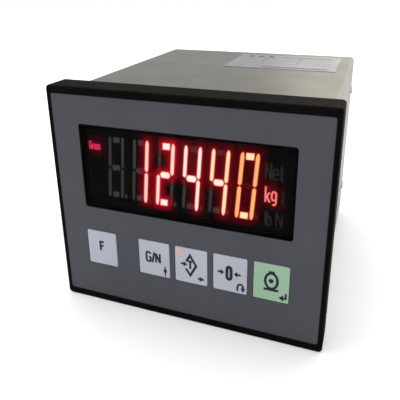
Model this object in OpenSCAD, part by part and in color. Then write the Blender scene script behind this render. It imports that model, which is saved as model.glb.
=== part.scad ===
// Panel weighing indicator: moulded bezel, lit display, five keys and a folded metal case.
// Front faces -Y, Z is up, the origin is under the middle of the whole object.

/* [Bezel] */
// Width of the bezel across its outer edges
bezel_w = 144; // [136:1:160]
// Height of the bezel
bezel_h = 123; // [118:1:135]
// Depth of the bezel flange, from its front to the gasket
bezel_d = 14.8; // [12:0.2:17]
// Corner radius of the bezel seen from the front
bezel_r = 1.8; // [1:0.2:5]
// Rounding of the bezel's front edge
bezel_edge = 0.9; // [0.4:0.1:1.4]
// Thickness of the moulded plate behind the overlay
plate_t = 3.4; // [2.8:0.2:4.4]
// Length of the collar that enters the case
collar_len = 10; // [9:0.5:14]
// Wall of the collar
collar_wall = 2.2; // [1.6:0.2:3]

/* [Front overlay] */
// Bezel rim left free at each side of the overlay
rim_side = 2.4; // [1.6:0.2:4]
// Bezel rim left free above and below the overlay
rim_top = 4.1; // [3:0.1:6]
// Thickness of the overlay sheet
overlay_t = 0.6; // [0.4:0.1:1]
// Depth of the overlay's face below the bezel rim
overlay_recess = 0.4; // [0.3:0.1:0.8]
// Corner radius of the overlay
overlay_r = 1.2; // [0.6:0.2:2.4]

/* [Display window] */
// Distance from each side edge of the bezel to the window
window_side = 17; // [14:0.5:18]
// Distance from the bezel's bottom edge to the window
window_foot = 58.2; // [56:0.1:60]
// Distance from the bezel's top edge to the window
window_top = 18.8; // [16:0.2:22]
// Corner radius of the window
window_r = 1.5; // [0.6:0.1:3]
// Thickness of the pane's seating flange
pane_t = 1.2; // [0.8:0.1:1.6]
// Width of the flange round the visible pane
pane_lip = 2.5; // [1.5:0.1:3]

/* [Digits] */
// Number of digits
digit_count = 6; // [6:1:6]
// Distance from the window's left edge to the status light box
row_left_gap = 2; // [1.6:0.1:3]
// Distance from the unit light box to the window's right edge
row_right_gap = 4; // [2:0.1:5]
// Distance from the digits to the window's top and bottom edges
digit_margin = 6.3; // [5:0.1:9]
// Distance between a digit's upright strokes, as a share of the pitch
digit_w_share = 0.52; // [0.5:0.01:0.61]
// Lean of the digits to the right, in degrees
digit_lean = 4.4; // [0:0.2:6]
// Width of an upright stroke
stroke_v = 1.6; // [1.2:0.1:1.9]
// Height of a cross bar
stroke_h = 3.1; // [2:0.1:3.6]
// Gap between an upright stroke and the top or bottom bar
bar_gap = 1; // [0.9:0.1:1.3]
// Distance from an upright stroke's middle to the tip of the middle bar
mid_bar_gap = 1; // [0.9:0.1:1.4]
// Gap between the ends of the segments
segment_gap = 0.7; // [0.4:0.1:1]
// Width of the decimal point
point_w = 1.4; // [1:0.1:1.6]
// Height of the decimal point
point_h = 2.4; // [1.6:0.1:3]
// Drop of the digits' middle below the middle of the window
digits_drop = 0.4; // [0:0.1:1.5]
// Distance from the digit housings to the window's top and bottom edges
block_margin = 3; // [2.2:0.1:4]
// Depth of a digit housing, from its face to the board
block_d = 8.5; // [8:0.1:10]
// Depth of a segment's well in the housing
well_d = 2; // [1.2:0.1:3]
// Width of the light box for the status words
status_box_w = 8.4; // [8:0.1:9.6]
// Width of the light box for the unit signs
unit_box_w = 12.2; // [11:0.1:12.4]

/* [Keys] */
// Distance between neighbouring keys, as a share of the bezel's width
key_pitch_share = 0.143; // [0.14:0.001:0.15]
// Free space between neighbouring keys
key_space = 3.2; // [2.6:0.1:5]
// Height of a key
key_h = 20.3; // [17:0.1:23]
// Corner radius of a key
key_r = 0.8; // [0.4:0.1:2]
// Distance from the bezel's bottom edge to the keys
key_foot = 24; // [21:0.5:28]
// Distance from the last key to the bezel's right edge
key_right_gap = 17.5; // [14:0.5:19]
// Distance from the bezel's left edge to the first key
key_left_gap = 16.5; // [14:0.5:18]
// How far a key stands out of the overlay
key_proud = 0.3; // [0.1:0.05:0.35]
// Travel of a key from rest to its stop
key_travel = 0.5; // [0.3:0.05:0.6]
// Thickness of a key's cap
key_t = 1.8; // [1.4:0.1:2.2]
// Radius of a key's stem
stem_r = 2.5; // [2:0.1:3.2]
// Width of a key switch
switch_w = 12; // [10:0.5:12.4]
// Height of a key switch above the board
switch_h = 3.5; // [3:0.1:5]
// Radius of a switch's round actuator
actuator_r = 3.4; // [2.5:0.1:4]

/* [Case] */
// Step from the bezel's edge in to the case, on all four sides
case_step = 4; // [3.5:0.25:6]
// Depth from the bezel's front to the back of the case
case_back = 154; // [146:1:180]
// Thickness of the case's sheet
case_wall = 1; // [0.8:0.1:1.2]
// Outside bend radius of the case's long edges
case_bend = 2.4; // [1.6:0.2:4]
// Thickness of the foam gasket behind the bezel
gasket_t = 1.2; // [0.8:0.1:1.6]
// Radius of the thread in the side nuts
side_thread_r = 1.65; // [1.25:0.05:2.1]
// Length of the side nuts
side_nut_len = 4; // [3:0.2:6]
// Distance between the two nuts on one side
side_nut_spacing = 50; // [40:1:70]

/* [Rear panel] */
// Thickness of the rear panel
rear_t = 1.5; // [1:0.1:2]
// Depth of the rear panel's folded side flanges
rear_flange = 12; // [11:0.5:16]
// Number of ways in the signal terminals
signal_ways = 8; // [6:1:8]
// Pitch of the signal terminals
signal_pitch = 5.08; // [5:0.01:5.08]
// Number of ways in the power terminals
power_ways = 3; // [3:1:3]
// Pitch of the power terminals
power_pitch = 7.62; // [7.5:0.01:7.62]
// How far the plugs stand out behind the case
plug_out = 12; // [10:0.5:16]

/* [Circuit boards] */
// Thickness of both boards
board_t = 1.6; // [1.2:0.1:2]
// Distance from the case's walls to the main board's side edges
board_side_gap = 6; // [5:0.5:7]
// Distance from the bezel's collar back to the main board
board_front_gap = 5.7; // [4:0.1:10]
// Height of the standoffs under the main board
standoff_h = 6; // [5:0.5:9]
// Radius of the board screws' thread
thread_r = 1.5; // [1.25:0.05:1.6]

/* [Hidden] */
$fn = 48;

// Shared clearances, overrun and depth
cut = 1;
fit_gap = 0.15;
run_gap = 0.25;
bore_gap = 0.1;
total_d = case_back + plug_out;
front_y = -total_d / 2;
mid_z = bezel_h / 2;

// Depths behind the bezel's front plane
pocket_d = overlay_recess + overlay_t;
plate_back = pocket_d + plate_t;
block_gap = 0.5;
block_face = plate_back + block_gap;
board_face = block_face + block_d;
board_back = board_face + board_t;
collar_back = bezel_d + collar_len;
case_len = case_back - bezel_d;
rear_face = case_back - rear_t;

// Sizes of the case and of what nests in it
case_w = bezel_w - 2 * case_step;
case_h = bezel_h - 2 * case_step;
case_in_w = case_w - 2 * case_wall;
case_in_h = case_h - 2 * case_wall;
case_in_r = case_bend - case_wall;
collar_w = case_in_w - 2 * run_gap;
collar_h = case_in_h - 2 * run_gap;
cavity_w = collar_w - 2 * collar_wall;
cavity_h = collar_h - 2 * collar_wall;
case_top = mid_z + case_h / 2;
case_floor = mid_z - case_in_h / 2;
board_edge_gap = 1.5;
front_board_w = cavity_w - 2 * board_edge_gap;
front_board_h = cavity_h - 2 * board_edge_gap;

// Overlay, window and pane
overlay_w = bezel_w - 2 * rim_side;
overlay_h = bezel_h - 2 * rim_top;
window_w = bezel_w - 2 * window_side;
window_h = bezel_h - window_top - window_foot;
window_z = window_foot + window_h / 2;
pane_d = overlay_recess + fit_gap;
ledge = 1.5;

// Keys from left to right: middle of each key across the front
key_z = key_foot + key_h / 2;
key_pitch = key_pitch_share * bezel_w;
key_w = key_pitch - key_space;
first_key_x = key_left_gap + key_w / 2 - bezel_w / 2;
last_key_x = bezel_w / 2 - key_right_gap - key_w / 2;
key_xs = [first_key_x, for (i = [3:-1:0]) last_key_x - i * key_pitch];
key_face = overlay_recess - key_proud;
key_back = key_face + key_t;
well_floor = key_back + key_travel + run_gap;
switch_face = board_face - switch_h;
actuator_out = 1.8;
actuator_in = 1.6;
actuator_face = switch_face - actuator_out;
guide_len = 2.5;
guide_wall = 1.8;
stem_gap = 0.3;

// Digit row
digit_z = window_z - digits_drop;
row_left = row_left_gap + status_box_w + fit_gap - window_w / 2;
row_right = window_w / 2 - row_right_gap - unit_box_w - fit_gap;
digit_pitch = (row_right - row_left) / digit_count;
first_digit_x = row_left + digit_pitch / 2;
digit_w = digit_w_share * digit_pitch;
digit_h = window_h - 2 * digit_margin;
bar_len = digit_w - stroke_v - 2 * bar_gap;
mid_bar_len = digit_w - 2 * mid_bar_gap;
block_w = digit_pitch - 2 * fit_gap;
block_h = window_h - 2 * block_margin;
status_x = row_left - fit_gap - status_box_w / 2;
unit_x = row_right + fit_gap + unit_box_w / 2;
film_t = 0.3;
film_edge = 0.6;
pipe_recess = 0.1;
pipe_floor_gap = 0.1;
pipe_gap = 0.08;
// Segments that the reading 12440 lights, digit by digit
LIT = ["", "bc", "abged", "fgbc", "fgbc", "abcdef"];
SEGMENTS = "abcdefgp";

// Front board fasteners and bosses
boss_r = 3.6;
boss_inset = 5;
boss_x = front_board_w / 2 - boss_inset;
boss_z = front_board_h / 2 - boss_inset;
pilot_r = thread_r - bore_gap;
pilot_depth = 6;
screw_clear = 0.2;
head_r = 1.8 * thread_r;
head_h = 1.2 * thread_r;
slot_w = 0.8;
slot_d = 0.9;

// Case screws through the sides: front pair into the collar, rear pair into the panel's flanges
side_boss_r = 3.2;
side_boss_len = 3.5;
side_screw_front = collar_back - side_boss_r - run_gap;
side_screw_rear = rear_face - rear_flange / 2;
side_screw_inset = 21.5;
side_screw_z = case_h / 2 - side_screw_inset;
side_head_h = 0.9;
side_screw_len = 5;
side_nut_flange = 1.2;
side_nut_r = side_thread_r + 2.2;
side_nut_mid = (bezel_d + case_back) / 2;

// Main board and its place
main_z = case_floor + standoff_h;
main_top = main_z + board_t;
main_back = rear_face - 2.5 * board_t;
main_front = collar_back + board_front_gap;
main_board_len = main_back - main_front;
main_board_w = case_in_w - 2 * board_side_gap;
hole_inset = 7;
standoff_af = 5.5;
gasket_inset = 1.5;

// Rating label on top of the case
label_w = 69;
label_len = 49;
label_t = 0.2;
label_side = 7.5;
label_x = case_w / 2 - label_side - label_w / 2;
label_back = 10;

// Rear connectors
dsub_w = 30.8;
dsub_h = 12.5;
dsub_flange_t = 1;
dsub_shell_w = 16.9;
dsub_shell_h = 8.4;
dsub_slope = 1.0;
dsub_out = 6;
dsub_in = 11;
dsub_screw = 12.5;
dsub_z = main_top + dsub_h / 2 + fit_gap;
pin_pitch = 2.77;
pin_row = 2.84;
pin_r = 0.6;
pin_depth = 5;
jack_af = 4.8;
jack_len = 5;
jack_floor = 1;
jack_thread_r = 1.1;
jack_stud_r = 1.3;
header_wall = 1.1;
header_h = 9;
header_out = 1.2;
header_in = 11;
header_z = main_top + header_h / 2;
plug_wall_gap = 0.2;
plug_h = 14.5;
plug_drop = 3;
wire_hole = 2.6;
wire_depth = 7;
terminal_screw_r = 1.7;
terminal_screw_h = 1;
blade_w = 1;
blade_len = 7;
earth_r = 2;
earth_rise = 5;
earth_side = 2.85;
earth_z = header_z + plug_h + earth_rise;
nut_af = 7;
nut_t = 3;
washer_r = 4.4;
washer_t = 0.8;

// Connectors spaced evenly between the rear panel's flanges
function terminal_w(ways, pitch) = ways * pitch + 2 * header_wall;

panel_w = case_in_w - 2 * run_gap;
panel_h = case_in_h - 2 * run_gap;
rear_half = panel_w / 2 - rear_t;
signal_w = terminal_w(signal_ways, signal_pitch);
power_w = terminal_w(power_ways, power_pitch);
rear_gap = (2 * rear_half - dsub_w - signal_w - power_w) / 4;
load_cell_x = rear_gap + dsub_w / 2 - rear_half;
signal_x = load_cell_x + dsub_w / 2 + rear_gap + signal_w / 2;
power_x = rear_half - rear_gap - power_w / 2;
earth_x = rear_half - earth_side - washer_r;

// Flat shape with round corners, about the middle
module round_rect(w, h, r) {
    square([w - 2 * r, h], center = true);
    square([w, h - 2 * r], center = true);
    for (x = [-1, 1], y = [-1, 1])
        translate([x * (w / 2 - r), y * (h / 2 - r)]) circle(r);
}

// Gives a flat front-view shape a thickness t, starting d behind the bezel's front
module slab(x, d, z, t) {
    translate([x, front_y + d + t, z]) rotate([90, 0, 0]) linear_extrude(t) children();
}

// Round bar along the depth
module rod(x, d, z, r, len) {
    translate([x, front_y + d + len, z]) rotate([90, 0, 0]) cylinder(r = r, h = len);
}

// Box from its middle in x and z and its front depth
module block(x, d, z, w, len, h) {
    translate([x - w / 2, front_y + d, z - h / 2]) cube([w, len, h]);
}

// Hexagonal bar along the depth
module hex_rod(x, d, z, af, len) {
    translate([x, front_y + d + len, z]) rotate([90, 0, 0])
        cylinder(r = af / sqrt(3), h = len, $fn = 6);
}

// Pan-head screw along +Z with its head's underside at the origin and its shank below
module screw(r, len) {
    difference() {
        cylinder(r = 1.8 * r, h = 1.2 * r);
        translate([-2 * r, -slot_w / 2, 1.2 * r - slot_d]) cube([4 * r, slot_w, slot_d + cut]);
    }
    translate([0, 0, -len]) cylinder(r = r, h = len);
}

// Places children at the four places of a rectangle
module four(x, z) {
    for (i = [-1, 1], k = [-1, 1]) translate([i * x, k * z]) children();
}

// Bezel: rim with a softened front edge, plate, collar, bosses and key guides
module bezel_body() {
    hull() {
        slab(0, 0, mid_z, fit_gap)
            round_rect(bezel_w - 2 * bezel_edge, bezel_h - 2 * bezel_edge, bezel_r, $fn = 32);
        slab(0, bezel_edge * 0.3, mid_z, fit_gap)
            round_rect(bezel_w - 0.6 * bezel_edge, bezel_h - 0.6 * bezel_edge, bezel_r, $fn = 32);
        slab(0, bezel_edge, mid_z, fit_gap) round_rect(bezel_w, bezel_h, bezel_r, $fn = 32);
    }
    slab(0, bezel_edge, mid_z, bezel_d - bezel_edge) round_rect(bezel_w, bezel_h, bezel_r);
}

module bezel_collar() {
    slab(0, bezel_d - cut, mid_z, collar_len + cut) difference() {
        round_rect(collar_w, collar_h, case_in_r);
        square([cavity_w, cavity_h], center = true);
    }
    for (i = [-1, 1], k = [-1, 1])
        translate([i * cavity_w / 2, front_y + side_screw_front, mid_z + k * side_screw_z])
            rotate([0, -i * 90, 0]) cylinder(r = side_boss_r, h = side_boss_len);
}

module bezel() {
    color([0.08, 0.08, 0.09]) difference() {
        union() {
            difference() {
                bezel_body();
                slab(0, plate_back, mid_z, bezel_d) square([cavity_w, cavity_h], center = true);
            }
            bezel_collar();
            for (i = [-1, 1], k = [-1, 1])
                rod(i * boss_x, plate_back - cut, mid_z + k * boss_z, boss_r,
                    board_face - plate_back + cut);
            for (x = key_xs)
                rod(x, plate_back - cut, key_z, stem_r + stem_gap + guide_wall, guide_len + cut);
        }
        slab(0, -cut, mid_z, pocket_d + cut)
            round_rect(overlay_w + 2 * fit_gap, overlay_h + 2 * fit_gap, overlay_r);
        slab(0, 0, window_z, pocket_d + pane_t)
            square([window_w + 2 * (pane_lip + fit_gap), window_h + 2 * (pane_lip + fit_gap)],
                center = true);
        slab(0, 0, window_z, plate_back + cut)
            round_rect(window_w - 2 * ledge, window_h - 2 * ledge, window_r);
        for (x = key_xs) {
            slab(x, 0, key_z, well_floor)
                round_rect(key_w + 2 * run_gap, key_h + 2 * run_gap, key_r + run_gap);
            rod(x, 0, key_z, stem_r + stem_gap, plate_back + guide_len + cut);
        }
        for (i = [-1, 1], k = [-1, 1]) {
            rod(i * boss_x, board_face - pilot_depth, mid_z + k * boss_z, thread_r,
                pilot_depth + cut);
            translate([i * (collar_w / 2 + cut), front_y + side_screw_front,
                mid_z + k * side_screw_z]) rotate([0, -i * 90, 0])
                cylinder(r = thread_r, h = side_screw_len + 2 * cut);
        }
    }
}

module front_overlay() {
    color([0.31, 0.32, 0.35]) difference() {
        slab(0, overlay_recess, mid_z, overlay_t) round_rect(overlay_w, overlay_h, overlay_r);
        slab(0, 0, window_z, pocket_d + cut) round_rect(window_w, window_h, window_r);
        for (x = key_xs) slab(x, 0, key_z, pocket_d + cut)
            round_rect(key_w + 2 * run_gap, key_h + 2 * run_gap, key_r + run_gap);
    }
}

module display_window() {
    color([0.25, 0.02, 0.03, 0.6]) {
        slab(0, pane_d, window_z, pocket_d - pane_d)
            round_rect(window_w - 2 * fit_gap, window_h - 2 * fit_gap, window_r);
        slab(0, pocket_d, window_z, pane_t)
            square([window_w + 2 * pane_lip, window_h + 2 * pane_lip], center = true);
    }
}

// Outline of one segment, in the digit's own upright frame; g shrinks it all round
function upright(u, s, g) = let (
    w = (stroke_v - 2 * g) / 2,
    low = segment_gap / 2 + g,
    high = digit_h / 2 - g
) [
    [u - w, s * (low + stroke_v / 2)], [u, s * low], [u + w, s * (low + stroke_v / 2)],
    [u + w, s * (high - stroke_v / 2)], [u + w / 2, s * high], [u - w / 2, s * high],
    [u - w, s * (high - stroke_v / 2)]
];

function bar(v, g) = let (w = bar_len / 2 - g, h = stroke_h / 2 - g)
    [[-w, v - h], [w, v - h], [w, v + h], [-w, v + h]];

function middle_bar(g) = let (
    w = mid_bar_len / 2 - g,
    h = stroke_h / 2 - g,
    flat = w - h / 2
) [[-w, 0], [-flat, -h], [flat, -h], [w, 0], [flat, h], [-flat, h]];

function point(g) = let (
    u = (digit_w + stroke_v + point_w) / 2 + segment_gap,
    w = point_w / 2 - g,
    low = -digit_h / 2 + g,
    high = low + point_h - 2 * g
) [[u - w, low], [u + w, low], [u + w, high], [u - w, high]];

function segment(name, g) =
    name == "a" ? bar((digit_h - stroke_h) / 2, g) :
    name == "b" ? upright(digit_w / 2, 1, g) :
    name == "c" ? upright(digit_w / 2, -1, g) :
    name == "d" ? bar(-(digit_h - stroke_h) / 2, g) :
    name == "e" ? upright(-digit_w / 2, -1, g) :
    name == "f" ? upright(-digit_w / 2, 1, g) :
    name == "g" ? middle_bar(g) : point(g);

// Leans an outline to the right about the digit's middle
function lean(points) = [for (p = points) [p[0] + p[1] * tan(digit_lean), p[1]]];

function is_lit(digit, name) = len([for (s = LIT[digit]) if (s == name) s]) > 0;

function digit_x(digit) = first_digit_x + digit * digit_pitch;

// Housing of one digit, with a well for each segment
module digit_block(digit) {
    color([0.12, 0.12, 0.12]) difference() {
        block(digit_x(digit), block_face, digit_z, block_w, block_d, block_h);
        slab(digit_x(digit), block_face - cut, digit_z, well_d + cut)
            for (s = SEGMENTS) polygon(lean(segment(s, 0)));
    }
}

// Light pipes of all digits that are lit, or that are dark
module light_pipes(lit) {
    for (digit = [0:digit_count - 1])
        slab(digit_x(digit), block_face + pipe_recess, digit_z,
            well_d - pipe_recess - pipe_floor_gap)
            for (s = SEGMENTS) if (is_lit(digit, s) == lit) polygon(lean(segment(s, pipe_gap)));
}

module segments_lit() { color([1, 0.35, 0.25]) light_pipes(true); }

module segments_unlit() { color([0.3, 0.28, 0.28]) light_pipes(false); }

// Light box beside the digits, with three cells behind its film
module lightbox(x, w) {
    color([0.12, 0.12, 0.12]) difference() {
        block(x, block_face, digit_z, w - fit_gap, block_d, block_h);
        for (k = [-1:1]) block(x, block_face - cut, digit_z + k * block_h / 3,
            w - 3 * film_edge, well_d + cut, block_h / 3 - 2 * film_edge);
    }
}

module film(x, w) {
    color([0.1, 0.1, 0.1]) block(x, block_face - film_t, digit_z,
        w - fit_gap - film_edge, film_t, block_h - film_edge);
}

module status_lightbox() { lightbox(status_x, status_box_w); }
module unit_lightbox() { lightbox(unit_x, unit_box_w); }
module status_film() { film(status_x, status_box_w); }
module unit_film() { film(unit_x, unit_box_w); }

module front_board() {
    color([0.05, 0.3, 0.15]) difference() {
        slab(0, board_face, mid_z, board_t) square([front_board_w, front_board_h], center = true);
        slab(0, board_face - cut, mid_z, board_t + 2 * cut)
            four(boss_x, boss_z) circle(thread_r + screw_clear);
    }
}

module front_board_screws() {
    color("silver") for (i = [-1, 1], k = [-1, 1])
        translate([i * boss_x, front_y + board_back, mid_z + k * boss_z])
            rotate([-90, 0, 0]) screw(pilot_r, pilot_depth);
}

// Square switch body with a round well for its actuator and four rivets
module key_switch(x) {
    rivet_r = 0.6;
    difference() {
        block(x, switch_face, key_z, switch_w, switch_h, switch_w);
        rod(x, switch_face - cut, key_z, actuator_r + stem_gap,
            cut + actuator_in + key_travel + run_gap);
    }
    for (i = [-1, 1], k = [-1, 1])
        rod(x + i * (switch_w / 2 - 2 * rivet_r), switch_face - rivet_r / 2,
            key_z + k * (switch_w / 2 - 2 * rivet_r), rivet_r, rivet_r);
}

module key_switches() { color([0.15, 0.15, 0.16]) for (x = key_xs) key_switch(x); }

// Key: cap with softened front edges, and the stem behind it
module key(i, shade) {
    soft = key_proud;
    color(shade) {
        hull() {
            slab(key_xs[i], key_face, key_z, fit_gap)
                round_rect(key_w - 2 * soft, key_h - 2 * soft, key_r, $fn = 32);
            slab(key_xs[i], key_face + soft, key_z, fit_gap)
                round_rect(key_w, key_h, key_r, $fn = 32);
        }
        slab(key_xs[i], key_face + soft, key_z, key_t - soft) round_rect(key_w, key_h, key_r);
        rod(key_xs[i], key_back - fit_gap, key_z, stem_r, actuator_face - key_back + fit_gap);
    }
}

module actuator(i) {
    color([0.85, 0.83, 0.78])
        rod(key_xs[i], actuator_face, key_z, actuator_r, actuator_out + actuator_in);
}

key_grey = [0.8, 0.81, 0.86];
key_green = [0.65, 0.82, 0.63];
module key_function() { key(0, key_grey); }
module key_gross_net() { key(1, key_grey); }
module key_tare() { key(2, key_grey); }
module key_zero() { key(3, key_grey); }
module key_enter() { key(4, key_green); }
module actuator_function() { actuator(0); }
module actuator_gross_net() { actuator(1); }
module actuator_tare() { actuator(2); }
module actuator_zero() { actuator(3); }
module actuator_enter() { actuator(4); }

// Foam ring round the case, against the back of the bezel
module panel_gasket() {
    color([0.06, 0.06, 0.06]) slab(0, bezel_d, mid_z, gasket_t) difference() {
        round_rect(bezel_w - 2 * gasket_inset, bezel_h - 2 * gasket_inset, bezel_r);
        round_rect(case_w + 2 * fit_gap, case_h + 2 * fit_gap, case_bend + fit_gap);
    }
}

// Bars across the case's two sides, at the places that screws or nuts take
module side_bars(depth, spread, r) {
    for (z = spread) translate([-bezel_w / 2, front_y + depth, mid_z + z])
        rotate([0, 90, 0]) cylinder(r = r, h = bezel_w);
}

module case_sleeve() {
    color([0.7, 0.68, 0.64]) difference() {
        slab(0, bezel_d, mid_z, case_len) difference() {
            round_rect(case_w, case_h, case_bend);
            round_rect(case_in_w, case_in_h, case_in_r);
        }
        side_bars(side_screw_front, [-side_screw_z, side_screw_z], thread_r + screw_clear);
        side_bars(side_screw_rear, [-side_screw_z, side_screw_z], thread_r + screw_clear);
        for (s = [-1, 1])
            side_bars(side_nut_mid + s * side_nut_spacing / 2, [0], side_nut_r - side_nut_flange);
    }
}

// Pressed-in nuts: a shank in the wall's hole and a wider body inside
module side_nuts() {
    color([0.75, 0.73, 0.68])
        for (i = [-1, 1], s = [-1, 1])
            translate([i * case_w / 2, front_y + side_nut_mid + s * side_nut_spacing / 2, mid_z])
                rotate([0, -i * 90, 0]) difference() {
                    union() {
                        cylinder(r = side_nut_r - side_nut_flange - bore_gap, h = side_nut_len);
                        translate([0, 0, case_wall])
                            cylinder(r = side_nut_r, h = side_nut_len - case_wall);
                    }
                    translate([0, 0, -cut]) cylinder(r = side_thread_r, h = side_nut_len + 2 * cut);
                }
}

module case_screws() {
    color("silver")
        for (i = [-1, 1], k = [-1, 1], d = [side_screw_front, side_screw_rear])
            translate([i * case_w / 2, front_y + d, mid_z + k * side_screw_z])
                rotate([0, i * 90, 0]) {
                    difference() {
                        cylinder(r = head_r, h = side_head_h);
                        translate([-2 * head_r, -slot_w / 2, side_head_h / 2])
                            cube([4 * head_r, slot_w, side_head_h]);
                    }
                    translate([0, 0, -side_screw_len]) cylinder(r = pilot_r, h = side_screw_len);
                }
}

// Folded rear panel: plate with cut-outs, and a flange down each side
module rear_panel() {
    color([0.66, 0.65, 0.62]) difference() {
        union() {
            slab(0, rear_face, mid_z, rear_t) round_rect(panel_w, panel_h, case_in_r);
            for (i = [-1, 1])
                block(i * (panel_w - rear_t) / 2, rear_face - rear_flange, mid_z, rear_t,
                    rear_flange + cut / 2, panel_h - 4 * case_bend);
        }
        slab(load_cell_x, rear_face - cut, dsub_z, rear_t + 2 * cut) {
            square([dsub_shell_w + 4 * run_gap, dsub_shell_h + 4 * run_gap], center = true);
            for (i = [-1, 1]) translate([i * dsub_screw, 0]) circle(jack_stud_r + screw_clear);
        }
        slab(signal_x, rear_face - cut, header_z, rear_t + 2 * cut)
            square([signal_w + 2 * run_gap, header_h + 2 * run_gap], center = true);
        slab(power_x, rear_face - cut, header_z, rear_t + 2 * cut)
            square([power_w + 2 * run_gap, header_h + 2 * run_gap], center = true);
        rod(earth_x, rear_face - cut, earth_z, earth_r + screw_clear, rear_t + 2 * cut);
        for (k = [-1, 1]) side_bars(side_screw_rear, [k * side_screw_z], thread_r);
    }
}

// Trapezoid outline of the load cell connector's shell
module dsub_outline(grow) {
    w = dsub_shell_w / 2 + grow;
    h = dsub_shell_h / 2 + grow;
    c = h / 3;
    polygon([
        [-w + dsub_slope + c, -h], [w - dsub_slope - c, -h], [w - dsub_slope, -h + c],
        [w, h - c], [w - c, h], [-w + c, h], [-w, h - c], [-w + dsub_slope, -h + c]
    ]);
}

module load_cell_connector() {
    color([0.72, 0.72, 0.7]) difference() {
        union() {
            slab(load_cell_x, case_back, dsub_z, dsub_flange_t)
                round_rect(dsub_w, dsub_h, case_in_r);
            slab(load_cell_x, case_back, dsub_z, dsub_out) dsub_outline(0);
            slab(load_cell_x, rear_face - dsub_in, dsub_z, dsub_in + rear_t + cut / 2)
                dsub_outline(0);
        }
        for (i = [-2:2]) rod(load_cell_x + i * pin_pitch, case_back + dsub_out - pin_depth,
            dsub_z + pin_row / 2, pin_r, pin_depth + cut);
        for (i = [-2:1]) rod(load_cell_x + (i + 1 / 2) * pin_pitch,
            case_back + dsub_out - pin_depth, dsub_z - pin_row / 2, pin_r, pin_depth + cut);
        for (i = [-1, 1]) rod(load_cell_x + i * dsub_screw, case_back - cut, dsub_z,
            jack_stud_r + screw_clear, dsub_flange_t + 2 * cut);
    }
}

module connector_jackscrews() {
    color([0.75, 0.74, 0.7]) for (i = [-1, 1]) difference() {
        union() {
            hex_rod(load_cell_x + i * dsub_screw, case_back + dsub_flange_t, dsub_z,
                jack_af, jack_len);
            rod(load_cell_x + i * dsub_screw, rear_face - rear_t, dsub_z, jack_stud_r,
                rear_t + rear_t + dsub_flange_t + cut / 2);
        }
        rod(load_cell_x + i * dsub_screw, case_back + dsub_flange_t + jack_floor, dsub_z,
            jack_thread_r, jack_len);
    }
}

// Fixed half of a terminal: an open shroud with a blade for each way
module terminal_header(x, ways, pitch) {
    w = terminal_w(ways, pitch);
    back = case_back + header_out;
    difference() {
        block(x, rear_face - header_in, header_z, w, header_in + rear_t + header_out, header_h);
        block(x, back - blade_len - header_wall, header_z, w - 2 * header_wall,
            blade_len + header_wall + cut, header_h - 2 * header_wall);
    }
    for (i = [0:ways - 1])
        block(x + (i - (ways - 1) / 2) * pitch, back - blade_len - 2 * header_wall, header_z,
            blade_w, blade_len + header_wall, blade_w);
}

// Pull-off half of a terminal: a body with wire holes behind, and a tongue in the shroud
module terminal_plug(x, ways, pitch) {
    w = ways * pitch;
    back = case_back + header_out;
    body_z = header_z + (plug_h - header_h) / 2 - plug_drop / 2;
    difference() {
        union() {
            block(x, back, body_z, w, plug_out - header_out, plug_h);
            block(x, back - blade_len, header_z, w - 2 * plug_wall_gap,
                blade_len + cut / 2, header_h - 2 * header_wall - 2 * plug_wall_gap);
        }
        for (i = [0:ways - 1]) {
            px = x + (i - (ways - 1) / 2) * pitch;
            block(px, back - blade_len - cut, header_z, blade_w + 2 * plug_wall_gap,
                blade_len + 2 * cut, blade_w + 2 * plug_wall_gap);
            block(px, case_back + plug_out - wire_depth, header_z, wire_hole,
                wire_depth + cut, wire_hole);
            translate([px, front_y + back + (plug_out - header_out) / 2,
                body_z + plug_h / 2 - terminal_screw_h - fit_gap])
                cylinder(r = terminal_screw_r + bore_gap, h = terminal_screw_h + cut);
        }
    }
}

module power_header() { color([0.1, 0.1, 0.1]) terminal_header(power_x, power_ways, power_pitch); }
module signal_header() { color([0.1, 0.35, 0.2]) terminal_header(signal_x, signal_ways, signal_pitch); }
module power_plug() { color([0.1, 0.1, 0.1]) terminal_plug(power_x, power_ways, power_pitch); }
module signal_plug() { color([0.1, 0.4, 0.22]) terminal_plug(signal_x, signal_ways, signal_pitch); }

// Slotted clamp screws in the tops of both plugs
module clamp_screws(x, ways, pitch) {
    top = header_z + plug_h - header_h / 2 - plug_drop / 2;
    for (i = [0:ways - 1])
        translate([x + (i - (ways - 1) / 2) * pitch,
            front_y + case_back + header_out + (plug_out - header_out) / 2,
            top - terminal_screw_h - fit_gap])
            difference() {
                cylinder(r = terminal_screw_r, h = terminal_screw_h);
                translate([-2 * terminal_screw_r, -slot_w / 2, terminal_screw_h / 2])
                    cube([4 * terminal_screw_r, slot_w, terminal_screw_h]);
            }
}

module plug_screws() {
    color("silver") {
        clamp_screws(power_x, power_ways, power_pitch);
        clamp_screws(signal_x, signal_ways, signal_pitch);
    }
}

module earth_stud() {
    color([0.75, 0.62, 0.3]) rod(earth_x, rear_face - nut_t - washer_t - fit_gap, earth_z, earth_r,
        rear_t + 3 * nut_t + 2 * washer_t);
}

module ring(x, d, z, r, len) {
    difference() {
        rod(x, d, z, r, len);
        rod(x, d - cut, z, earth_r + bore_gap, len + 2 * cut);
    }
}

module earth_washers() {
    color("silver") {
        ring(earth_x, rear_face - washer_t, earth_z, washer_r, washer_t);
        ring(earth_x, case_back, earth_z, washer_r, washer_t);
    }
}

module earth_nuts() {
    color([0.75, 0.62, 0.3]) for (d = [rear_face - washer_t - nut_t, case_back + washer_t])
        difference() {
            hex_rod(earth_x, d, earth_z, nut_af, nut_t);
            rod(earth_x, d - cut, earth_z, earth_r + bore_gap, nut_t + 2 * cut);
        }
}

module rating_label() {
    color([0.76, 0.77, 0.8])
        translate([label_x - label_w / 2, front_y + case_back - label_back - label_len, case_top])
            cube([label_w, label_len, label_t]);
}

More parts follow.
